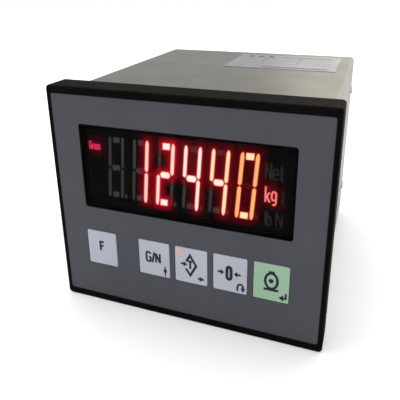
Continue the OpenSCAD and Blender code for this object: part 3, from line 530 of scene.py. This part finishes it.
# Left, right, foot and top of each lit word or letter in mm, and its share of the painted glow.
for left, right, foot, top, share in (
        (-52.0, -46.0, 89.6, 93.4, 0.3),
        (40.3, 42.4, 74.4, 82.2, 0.4),
        (43.2, 45.4, 74.0, 80.4, 0.4)):
    box = [(u * MM, v * MM) for u, v in ((left, foot), (right, foot), (right, top), (left, top))]
    base, count = spread_painted_glow(box, (0, 0), word_painted_glow_y, share)
    painted_glow_faces.append(tuple(base + i for i in range(count)))

caps = coloured_mesh("lit_segment_caps", cap_points, cap_faces, cap_colours)
cap_glow, cap_tree, cap_shader = new_material("lit_cap", (0.5, 0.1, 0.05), roughness=0.5)
cap_tree.links.new(painted_shade(cap_tree), cap_shader.inputs["Emission Color"])
cap_shader.inputs["Emission Strength"].default_value = 2.3
caps.data.materials.append(cap_glow)
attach(caps, "housing")

# A clear sheet with the painted red glow round each lit segment and word, standing in for light
# that spreads round them.
painted_glow = coloured_mesh("painted_segment_glow", painted_glow_points, painted_glow_faces, painted_glow_colours)
painted_glow_film, painted_glow_tree, painted_glow_shader = new_material("painted_red_glow", (0, 0, 0), roughness=1.0, specular=0)
painted_glow_shade = painted_shade(painted_glow_tree)
painted_glow_tree.links.new(colour_ramp(painted_glow_tree, painted_glow_shade, (0.3, 0.0, 0.012), (1.0, 0.01, 0.03)),
                    painted_glow_shader.inputs["Emission Color"])
painted_glow_tree.links.new(painted_glow_shade, painted_glow_shader.inputs["Alpha"])
painted_glow_shader.inputs["Emission Strength"].default_value = 1.3
painted_glow.data.materials.append(painted_glow_film)
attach(painted_glow, "housing")


# Words and signs. Narrow technical letters, clear in a black film: two are lit from
# behind, and the others stay a dim grey. Each letter is given as its width and the lines
# that a pen would draw, in shares of its height.
letters = {
    "F": (0.5, [[(0, 0), (0, 1), (0.5, 1)], [(0, 0.53), (0.42, 0.53)]]),
    "G": (0.54, [[(0.53, 0.8), (0.48, 0.93), (0.36, 1), (0.17, 1), (0.05, 0.93), (0, 0.8), (0, 0.2),
                  (0.05, 0.07), (0.17, 0), (0.36, 0), (0.48, 0.07), (0.53, 0.2), (0.53, 0.45),
                  (0.3, 0.45)]]),
    "/": (0.28, [[(0, -0.06), (0.28, 1.06)]]),
    "N": (0.5, [[(0, 0), (0, 1)], [(0, 0.97), (0.5, 0.03)], [(0.5, 0), (0.5, 1)]]),
    "T": (0.52, [[(0, 1), (0.52, 1)], [(0.26, 0), (0.26, 1)]]),
    "0": (0.5, [[(0, 0.2), (0, 0.8), (0.06, 0.94), (0.17, 1), (0.33, 1), (0.44, 0.94), (0.5, 0.8),
                 (0.5, 0.2), (0.44, 0.06), (0.33, 0), (0.17, 0), (0.06, 0.06), (0, 0.2)]]),
    "k": (0.45, [[(0, 0), (0, 1)], [(0.42, 0.64), (0, 0.24)], [(0.15, 0.38), (0.45, 0)]]),
    "g": (0.45, [[(0.45, 0.7), (0.45, 0.0), (0.36, -0.14), (0.08, -0.14)],
                 [(0.45, 0.56), (0.34, 0.7), (0.11, 0.7), (0, 0.56), (0, 0.3), (0.11, 0.16),
                  (0.34, 0.16), (0.45, 0.3)]]),
    "e": (0.44, [[(0.01, 0.33), (0.44, 0.33), (0.44, 0.5), (0.33, 0.64), (0.11, 0.64), (0, 0.5),
                  (0, 0.15), (0.11, 0), (0.35, 0), (0.43, 0.1)]]),
    "t": (0.36, [[(0.14, 0.92), (0.14, 0.12), (0.23, 0), (0.36, 0)], [(0, 0.64), (0.34, 0.64)]]),
    "l": (0.02, [[(0, 0), (0, 1)]]),
    "b": (0.45, [[(0, 1), (0, 0)], [(0, 0.5), (0.11, 0.64), (0.34, 0.64), (0.45, 0.5), (0.45, 0.14),
                                    (0.34, 0), (0.11, 0), (0, 0.14)]]),
    "r": (0.28, [[(0, 0), (0, 0.66)], [(0, 0.44), (0.1, 0.6), (0.28, 0.64)]]),
    "o": (0.45, [[(0, 0.16), (0, 0.5), (0.11, 0.64), (0.34, 0.64), (0.45, 0.5), (0.45, 0.16),
                  (0.34, 0), (0.11, 0), (0, 0.16)]]),
    "s": (0.4, [[(0.39, 0.53), (0.3, 0.64), (0.1, 0.64), (0.01, 0.53), (0.01, 0.43), (0.1, 0.35),
                 (0.3, 0.29), (0.39, 0.21), (0.39, 0.11), (0.3, 0), (0.1, 0), (0, 0.11)]]),
}
letter_space = 0.2
sharpest_corner = 0.45


def stroke(build, line, width, face_y, back_y):
    closed = line[0] == line[-1]
    points = [Vector(p) for p in (line[:-1] if closed else line)]
    count = len(points)
    rows = []
    for i, point in enumerate(points):
        before = points[i - 1] if (i or closed) else None
        after = points[(i + 1) % count] if (i < count - 1 or closed) else None
        into = (point - before).normalized() if before is not None else None
        out = (after - point).normalized() if after is not None else None
        along = ((into or out) + (out or into)).normalized()
        normal = Vector((-along.y, along.x))
        straight = Vector((-(into or out).y, (into or out).x))
        reach = width / 2 / max(sharpest_corner, normal.dot(straight))
        a, b = point + normal * reach, point - normal * reach
        rows.append([build.verts.new((p.x, y, p.y)) for p in (a, b) for y in (face_y, back_y)])
    pairs = list(zip(rows, rows[1:])) + ([(rows[-1], rows[0])] if closed else [])
    for (a, a_back, b, b_back), (c, c_back, d, d_back) in pairs:
        for face in ((a, b, d, c), (a_back, c_back, d_back, b_back),
                     (a, c, c_back, a_back), (b, b_back, d_back, d)):
            build.faces.new(face)
    if not closed:
        for a, a_back, b, b_back in (rows[0], rows[-1]):
            build.faces.new((a, a_back, b_back, b))


def write(build, text, left, right, foot, top, width, face_y, back_y):
    natural = sum(letters[c][0] for c in text) + letter_space * (len(text) - 1)
    height = top - foot
    stretch = (right - left - width) / natural
    cursor = left + width / 2
    for c in text:
        wide, lines = letters[c]
        for layer, line in enumerate(lines):
            stroke(build, [(cursor + u * stretch, foot + width / 2 + v * (height - width))
                           for u, v in line], width, face_y - layer * layer_step, back_y)
        cursor += (wide + letter_space) * stretch


def finish_build(build, name, material, body):
    bmesh.ops.recalc_face_normals(build, faces=build.faces)
    mesh = bpy.data.meshes.new(name)
    build.to_mesh(mesh)
    build.free()
    item = bpy.data.objects.new(name, mesh)
    bpy.context.collection.objects.link(item)
    mesh.materials.append(material)
    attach(item, body)


window_left, window_top = -55 * MM, 104.2 * MM
letter_face, letter_back = front_y + 4.5 * MM, front_y + 4.6 * MM
sign_red = glowing("sign_lit", (0.5, 0.05, 0.03), dim=(0.88, 0.16, 0.13), bright=(1, 0.24, 0.21),
                   strength=2.15)
word_red = glowing("word_lit", (0.5, 0.03, 0.08), dim=(0.88, 0.02, 0.1), bright=(1, 0.04, 0.16),
                   strength=2.05)
sign_dim = moulded("sign_dim", (0.07, 0.067, 0.065), (0.06, 0.058, 0.056),
                   size_mm=0.4, smooth=0.5, dull=0.6, bump=0.2, specular=0.2)

# Left, right, foot and top of each sign in mm from the window's upper left corner, and the
# width of its lines.
for name, text, left, right, foot, top, width, material in (
        ("status_sign_gross", "Gross", 2.8, 9.3, 14.5, 10.1, 0.42, word_red),
        ("unit_sign_net", "Net", 94.8, 104.0, 18.6, 9.9, 0.9, sign_dim),
        ("unit_sign_kg", "kg", 95.1, 100.9, 30.2, 21.6, 0.85, sign_red),
        ("unit_sign_t", "t", 102.5, 105.1, 30.6, 22.6, 0.8, sign_dim),
        ("unit_sign_lb", "lb", 95.4, 98.9, 42.2, 34.4, 0.85, sign_dim),
        ("unit_sign_n", "N", 100.6, 104.1, 42.2, 34.4, 0.85, sign_dim)):
    sign = bmesh.new()
    write(sign, text, window_left + left * MM, window_left + right * MM,
          window_top - foot * MM, window_top - top * MM, width * MM, letter_face, letter_back)
    finish_build(sign, name, material, "housing")


# Window pane. Smoked acrylic with a dull, nearly reflection-free face, clipped in behind
# the overlay's opening.
pane, pane_tree, pane_shader = new_material("window_filter", (0.002, 0.0015, 0.0015),
                                            roughness=0.35, specular=0.03)
pane_shader.inputs["Alpha"].default_value = 0.35
pane_noise = pane_tree.nodes.new("ShaderNodeTexNoise")
pane_noise.inputs["Scale"].default_value = 55
pane_tree.links.new(spread(pane_tree, pane_noise.outputs["Fac"], (0.0, 1.0), (0.3, 0.42)),
                    pane_shader.inputs["Roughness"])
finish_node("display_window", pane)


# Keys. Light grey and green printed faces that stand a little out of the overlay, each
# on a stem that ends in the natural nylon actuator of its switch.
key_grey = moulded("key_grey", (0.32, 0.335, 0.385), (0.35, 0.365, 0.415),
                   size_mm=0.25, smooth=0.4, dull=0.55, bump=0.2, specular=0.35)
key_green = moulded("key_green", (0.22, 0.35, 0.235), (0.245, 0.375, 0.26),
                    size_mm=0.25, smooth=0.4, dull=0.55, bump=0.2, specular=0.35)
# The paler key edges are a painted highlight where light would catch their rims.
add_wear_and_highlight(key_grey, (0.5, 0.52, 0.56), reach_mm=0.25, amount=0.7)
add_wear_and_highlight(key_green, (0.36, 0.5, 0.38), reach_mm=0.25, amount=0.7)
nylon = moulded("actuator_nylon", (0.7, 0.67, 0.58), (0.66, 0.62, 0.54),
                size_mm=0.5, smooth=0.35, dull=0.45, bump=0.2)
for name in ("function", "gross_net", "tare", "zero", "enter"):
    finish_node(f"key_{name}", key_green if name == "enter" else key_grey)
    finish_node(f"actuator_{name}", nylon)


# Key legends. Dark ink signs on the faces of the keys; the tare key also has a small
# orange mark in its upper left corner.
ink = moulded("legend_ink", (0.006, 0.007, 0.016), (0.008, 0.009, 0.02),
              size_mm=0.3, smooth=0.4, dull=0.5, bump=0.1, specular=0.2)
orange_ink = moulded("orange_ink", (0.72, 0.3, 0.14), (0.75, 0.36, 0.2),
                     size_mm=0.3, smooth=0.4, dull=0.5, bump=0.1, specular=0.3)
ink_proud, ink_sunk = 0.03 * MM, 0.06 * MM


def patch(build, outline, face_y, back_y):
    front = [build.verts.new((u, face_y, v)) for u, v in outline]
    back = [build.verts.new((u, back_y, v)) for u, v in outline]
    count = len(outline)
    build.faces.new(front)
    build.faces.new(back)
    for i in range(count):
        j = (i + 1) % count
        build.faces.new((front[i], front[j], back[j], back[i]))


def oval(u, v, wide, tall, count=28):
    turns = [2 * math.pi * k / count for k in range(count)]
    return [(u + wide * math.cos(turn), v + tall * math.sin(turn)) for turn in turns]


class KeyFace:
    """Draws on the face of one key, in shares of its width and height from the top left."""

    def __init__(self, key):
        low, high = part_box(f"key_{key}")
        self.key, self.build = key, bmesh.new()
        self.left, self.top = low.x, high.z
        self.width, self.height = high.x - low.x, high.z - low.z
        self.face_y, self.back_y = low.y - ink_proud, low.y + ink_sunk

    def at(self, u, v):
        return self.left + u * self.width, self.top - v * self.height

    def line(self, points, width):
        self.face_y -= layer_step
        stroke(self.build, [self.at(u, v) for u, v in points], width * MM,
               self.face_y, self.back_y)

    def area(self, points):
        self.face_y -= layer_step
        patch(self.build, [self.at(u, v) for u, v in points], self.face_y, self.back_y)

    def text(self, words, left, right, top, foot, width):
        left_x, top_z = self.at(left, top)
        right_x, foot_z = self.at(right, foot)
        write(self.build, words, left_x, right_x, foot_z, top_z, width * MM,
              self.face_y, self.back_y)

    def done(self, name, material):
        finish_build(self.build, name, material, f"{self.key}_key")


face = KeyFace("function")
face.text("F", left=0.4, right=0.6, top=0.275, foot=0.6, width=1.3)
face.done("legend_function", ink)

face = KeyFace("gross_net")
face.text("G/N", left=0.22, right=0.725, top=0.295, foot=0.625, width=1.12)
face.line([(0.855, 0.955), (0.855, 0.67)], width=0.7)
face.area([(0.79, 0.8), (0.855, 0.7), (0.92, 0.8), (0.855, 0.89)])
face.done("legend_gross_net", ink)

face = KeyFace("tare")
face.line([(0.36, 0.38), (0.478, 0.19), (0.665, 0.466), (0.478, 0.765), (0.345, 0.59)], width=1.25)
face.text("T", left=0.385, right=0.575, top=0.335, foot=0.6, width=1.1)
face.line([(0.18, 0.46), (0.3, 0.46)], width=1.0)
face.area([(0.27, 0.385), (0.395, 0.46), (0.27, 0.535)])
face.line([(0.71, 0.82), (0.8, 0.82)], width=0.95)
face.area([(0.77, 0.75), (0.925, 0.82), (0.77, 0.89)])
face.done("legend_tare", ink)
mark = KeyFace("tare")
mark.area([(0.09, 0.12), (0.21, 0.18), (0.09, 0.25)])
mark.area([(0.05, 0.04), (0.2, 0.04), (0.2, 0.07), (0.09, 0.08), (0.08, 0.16), (0.05, 0.16)])
mark.done("orange_mark", orange_ink)

face = KeyFace("zero")
face.text("0", left=0.37, right=0.585, top=0.26, foot=0.68, width=1.6)
for tail, neck, tip in ((0.14, 0.23, 0.335), (0.82, 0.72, 0.615)):
    face.line([(tail, 0.468), (neck, 0.468)], width=1.1)
    face.area([(neck, 0.385), (tip, 0.468), (neck, 0.55)])
face.line([(0.73, 0.92), (0.73, 0.81), (0.765, 0.74), (0.84, 0.725), (0.89, 0.77), (0.9, 0.86)],
          width=1.0)
face.area([(0.825, 0.835), (0.96, 0.835), (0.89, 0.95)])
face.done("legend_zero", ink)

face = KeyFace("enter")
ring = oval(0.507, 0.447, wide=0.172, tall=0.21)
face.line(ring + ring[:1], width=1.25)
face.area(oval(0.5, 0.445, wide=0.07, tall=0.06, count=16))
face.line([(0.42, 0.205), (0.595, 0.205)], width=1.1)
face.line([(0.3, 0.69), (0.71, 0.69)], width=1.3)
face.line([(0.925, 0.72), (0.925, 0.865), (0.83, 0.865)], width=0.95)
face.area([(0.86, 0.775), (0.86, 0.95), (0.725, 0.865)])
face.done("legend_enter", ink)


# Case. One sleeve of satin stainless sheet with folded long edges, and a rear panel of the
# same sheet, brushed across on top and down the sides. Its top is painted a darker, warmer
# tone, partly as dust and partly as painted shade, and its edges are painted paler, partly as
# wear and partly as a painted highlight. Zinc-plated nuts, screws and pillars and a brass earth
# stud belong to it.
brushed, brushed_in, brushed_out = node_group(
    "brushed_sheet",
    [("Colour", "colour"), ("Shade Colour", "colour"), ("Smooth", "value"), ("Dull", "value")],
    [("Colour", "colour"), ("Roughness", "value"), ("Height", "value")],
)
brushed_place = own_place(brushed)
along_brush, across_brush = 14, 900


def brush_lines(scale):
    shaped = brushed.nodes.new("ShaderNodeMapping")
    shaped.inputs["Scale"].default_value = scale
    brushed.links.new(brushed_place, shaped.inputs["Vector"])
    return noise(brushed, shaped.outputs["Vector"], scale=4, detail=4)


brushed_facing = brushed.nodes.new("ShaderNodeSeparateXYZ")
brushed.links.new(surface_normal(brushed), brushed_facing.inputs["Vector"])
sideways = brushed.nodes.new("ShaderNodeMath")
sideways.operation = "ABSOLUTE"
brushed.links.new(brushed_facing.outputs["X"], sideways.inputs[0])
lines = spread(brushed, sideways.outputs[0], (0.6, 0.8),
               (brush_lines((along_brush, across_brush, across_brush)),
                brush_lines((across_brush, across_brush, along_brush))))
clouds = noise(brushed, brushed_place, scale=16, detail=3)
tone = spread(brushed, lines, (0.3, 0.7), (0.0, 1.0))
brushed.links.new(
    blend_colour(brushed, tone, brushed_in.outputs["Colour"], brushed_in.outputs["Shade Colour"]),
    brushed_out.inputs["Colour"])
brushed.links.new(
    spread(brushed, clouds, (0.3, 0.7), (brushed_in.outputs["Smooth"], brushed_in.outputs["Dull"])),
    brushed_out.inputs["Roughness"])
brushed.links.new(lines, brushed_out.inputs["Height"])


def sheet_metal(name, color, shade, smooth, dull, bump=0.3, metallic=1.0):
    material, tree, shader = new_material(name, color, dull, metallic)
    finish_with(tree, shader, brushed,
                {"Colour": color, "Shade Colour": shade, "Smooth": smooth, "Dull": dull}, bump)
    return material


stainless = sheet_metal("stainless_case", (0.25, 0.248, 0.235), (0.205, 0.203, 0.192),
                        smooth=0.32, dull=0.45)
stainless_shader = stainless.node_tree.nodes["Principled BSDF"]
stainless_shader.inputs["Specular Tint"].default_value = (0.8, 0.79, 0.75, 1)
# Paler edges: wear and a painted highlight; darker top: dust and painted shade.
add_wear_and_highlight(stainless, (0.4, 0.4, 0.38), reach_mm=0.5, amount=0.55)
add_dust_and_top_shading(stainless, (0.165, 0.16, 0.146), amount=0.95)
finish_node("case_sleeve", stainless)
finish_node("rear_panel", stainless)
zinc = sheet_metal("zinc_steel", (0.62, 0.62, 0.6), (0.5, 0.5, 0.5), smooth=0.25, dull=0.4)
for name in ("side_nuts", "case_screws", "connector_jackscrews", "plug_screws", "board_standoffs",
             "board_screws", "front_board_screws", "earth_washers"):
    finish_node(name, zinc)
brass = sheet_metal("brass_metal", (0.7, 0.5, 0.2), (0.6, 0.42, 0.17), smooth=0.25, dull=0.38)
finish_node("earth_stud", brass)
finish_node("earth_nuts", brass)


# Rating label. A silver foil, stuck on the top of the case near its right edge, with
# nothing on it but printed rules and empty fields.
foil = sheet_metal("label_foil", (0.2, 0.205, 0.222), (0.175, 0.18, 0.195),
                   smooth=0.35, dull=0.45, bump=0.1, metallic=0.55)
finish_node("rating_label", foil)

label_low, label_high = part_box("rating_label")
label_ink = moulded("label_ink", (0.03, 0.03, 0.04), (0.05, 0.05, 0.06),
                    size_mm=0.4, smooth=0.5, dull=0.6, bump=0.1, specular=0.3)
label_lines = bmesh.new()
rule_foot, rule_top = label_high.z - 0.02 * MM, label_high.z + 0.03 * MM


def rule(left, right, near, far):
    corners = [label_lines.verts.new((label_low.x + u * MM, label_low.y + v * MM, z))
               for z in (rule_foot, rule_top)
               for u, v in ((left, near), (right, near), (right, far), (left, far))]
    for side in ((3, 2, 1, 0), (4, 5, 6, 7),
                 (0, 1, 5, 4), (1, 2, 6, 5), (2, 3, 7, 6), (3, 0, 4, 7)):
        label_lines.faces.new([corners[i] for i in side])


label_wide, hairline = 69, 0.35
for near in (7.5, 17, 24, 31, 38):
    rule(left=4, right=label_wide - 4, near=near, far=near + hairline)
rule(left=24, right=label_wide - 5, near=3.6, far=5.6)
for column in (20, 43):
    rule(left=column, right=column + hairline, near=17, far=38.35)
for column in (6, 13, 20):
    rule(left=column, right=column + 4, near=40.5, far=44.5)
rule(left=30, right=label_wide - 6, near=42, far=43.2)
finish_build(label_lines, "label_rules", label_ink, "housing")


# Rear connectors. A tinned shell round a black insert with brass contacts for the load
# cell, green terminals for the signals and black ones for the power, with a metal cage in
# each wire hole.
tin = sheet_metal("tin_shell", (0.6, 0.6, 0.58), (0.52, 0.52, 0.5), smooth=0.22, dull=0.38)
finish_node("load_cell_connector", tin)
finish_node("converter_shield", tin)
plug_green = moulded("plug_green", (0.02, 0.2, 0.07), (0.03, 0.22, 0.08),
                     size_mm=0.5, smooth=0.35, dull=0.5, bump=0.3)
plug_black = moulded("plug_black", (0.012, 0.012, 0.012), (0.02, 0.02, 0.02),
                     size_mm=0.5, smooth=0.35, dull=0.5, bump=0.3)
add_wear_and_highlight(plug_green, (0.06, 0.3, 0.14), reach_mm=0.3, amount=0.6)
add_wear_and_highlight(plug_black, (0.05, 0.05, 0.05), reach_mm=0.3, amount=0.6)
finish_node("signal_header", plug_green)
finish_node("signal_plug", plug_green)
finish_node("power_header", plug_black)
finish_node("power_plug", plug_black)

socket_low, socket_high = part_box("load_cell_connector")
socket_x, socket_z = (socket_low.x + socket_high.x) / 2, (socket_low.z + socket_high.z) / 2
insert_wide, insert_tall, insert_slope = 15.5 * MM, 7.2 * MM, 0.9 * MM
insert_face, insert_root = socket_high.y + 0.15 * MM, socket_high.y - 0.1 * MM
insert_outline = [(-insert_wide / 2, insert_tall / 2), (insert_wide / 2, insert_tall / 2),
                  (insert_wide / 2 - insert_slope, -insert_tall / 2),
                  (-insert_wide / 2 + insert_slope, -insert_tall / 2)]
insert = bmesh.new()
patch(insert, [(socket_x + u, socket_z + v) for u, v in insert_outline], insert_root, insert_face)
finish_build(insert, "socket_insert", plug_black, "housing")

contact_pitch, contact_row, contact_radius = 2.77 * MM, 2.84 * MM, 0.6 * MM
contact_wall, contact_proud = 0.22 * MM, 0.08 * MM
contact_spots = ([(i * contact_pitch, contact_row / 2) for i in (-2, -1, 0, 1, 2)]
                 + [(i * contact_pitch, -contact_row / 2) for i in (-1.5, -0.5, 0.5, 1.5)])
contacts = bmesh.new()
for u, v in contact_spots:
    tube = oval(socket_x + u, socket_z + v, contact_radius, contact_radius, count=14)
    stroke(contacts, tube + tube[:1], contact_wall, insert_face + contact_proud, insert_face)
finish_build(contacts, "socket_contacts", brass, "housing")

cage_half, cage_wall, cage_root, cage_lip = 1.12 * MM, 0.3 * MM, 1.4 * MM, 0.5 * MM
cages = bmesh.new()
for plug, header, ways in (("signal_plug", "signal_header", 8), ("power_plug", "power_header", 3)):
    low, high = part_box(plug)
    header_low, header_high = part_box(header)
    hole_z = (header_low.z + header_high.z) / 2
    for i in range(ways):
        hole_x = low.x + (high.x - low.x) * (i + 0.5) / ways
        corners = [(hole_x + u * cage_half, hole_z + v * cage_half)
                   for u, v in ((-1, -1), (1, -1), (1, 1), (-1, 1))]
        stroke(cages, corners + corners[:1], cage_wall, high.y - cage_root, high.y - cage_lip)
finish_build(cages, "terminal_cages", zinc, "housing")


# Boards and parts inside. Green boards, black chips and headers, a steel core with its
# taped coil, blue cans and relays, a black heatsink and the grey ribbon.
board = moulded("circuit_board", (0.01, 0.1, 0.035), (0.02, 0.15, 0.05),
                size_mm=2.0, smooth=0.25, dull=0.4, bump=0.6)
finish_node("front_board", board)
finish_node("main_board", board)
resin = moulded("component_black", (0.012, 0.012, 0.012), (0.02, 0.02, 0.02),
                size_mm=0.3, smooth=0.4, dull=0.6, bump=0.4)
for name in ("key_switches", "front_header", "main_header", "regulator", "board_chips"):
    finish_node(name, resin)
finish_node("transformer_core", moulded("core_steel", (0.05, 0.047, 0.045), (0.09, 0.08, 0.07),
                                        size_mm=0.6, smooth=0.35, dull=0.6))
finish_node("transformer_coil", moulded("coil_tape", (0.6, 0.36, 0.08), (0.5, 0.28, 0.06),
                                        size_mm=1.0, smooth=0.3, dull=0.4, bump=0.3))
finish_node("filter_capacitors", moulded("can_sleeve", (0.02, 0.03, 0.12), (0.03, 0.04, 0.14),
                                         size_mm=1.0, smooth=0.2, dull=0.3, bump=0.1))
finish_node("heatsink", moulded("sink_black", (0.012, 0.012, 0.012), (0.02, 0.02, 0.02),
                                size_mm=0.5, smooth=0.35, dull=0.5, bump=0.3))
finish_node("output_relays", moulded("relay_blue", (0.02, 0.07, 0.3), (0.03, 0.09, 0.33),
                                     size_mm=0.8, smooth=0.3, dull=0.4, bump=0.2))
finish_node("ribbon_cable", moulded("ribbon_grey", (0.3, 0.3, 0.31), (0.34, 0.34, 0.34),
                                    size_mm=0.6, smooth=0.4, dull=0.55, bump=0.3))
